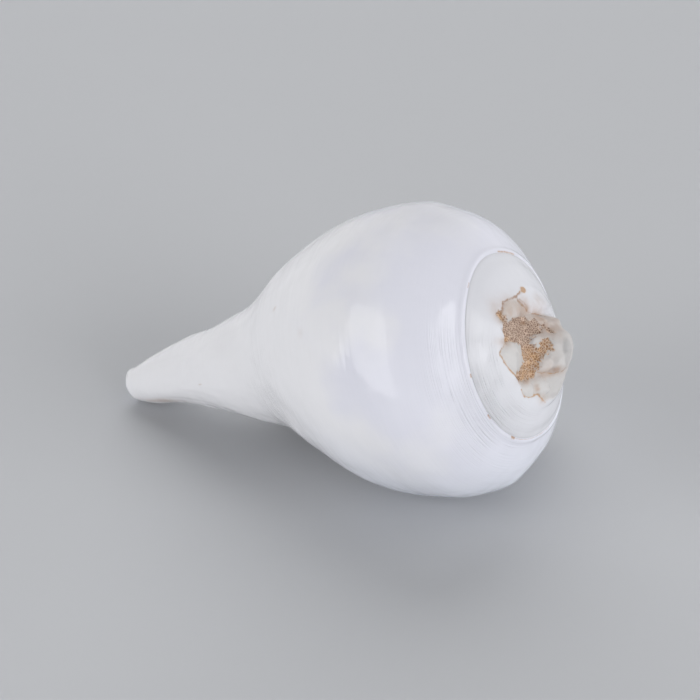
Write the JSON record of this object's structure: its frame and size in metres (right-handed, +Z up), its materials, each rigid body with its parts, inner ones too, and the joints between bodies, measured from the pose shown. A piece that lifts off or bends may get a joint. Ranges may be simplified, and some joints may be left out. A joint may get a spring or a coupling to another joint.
{
  "type": "conch shell",
  "caption": "Worn, polished white chank shell: a round body whorl with a long tapering canal, a low eroded spire and an open aperture underneath.",
  "frame": {"origin": "on the floor, under the middle of the shell's bounding box", "axes": "+Z up as the shell lies on its aperture; +X from the tip of the canal towards the spire"},
  "size_m": [0.1246, 0.0784, 0.07],
  "materials": {
    "shell": "gloss"
  },
  "bodies": {
    "root": {"shell": "shell"}
  },
  "joints": []
}
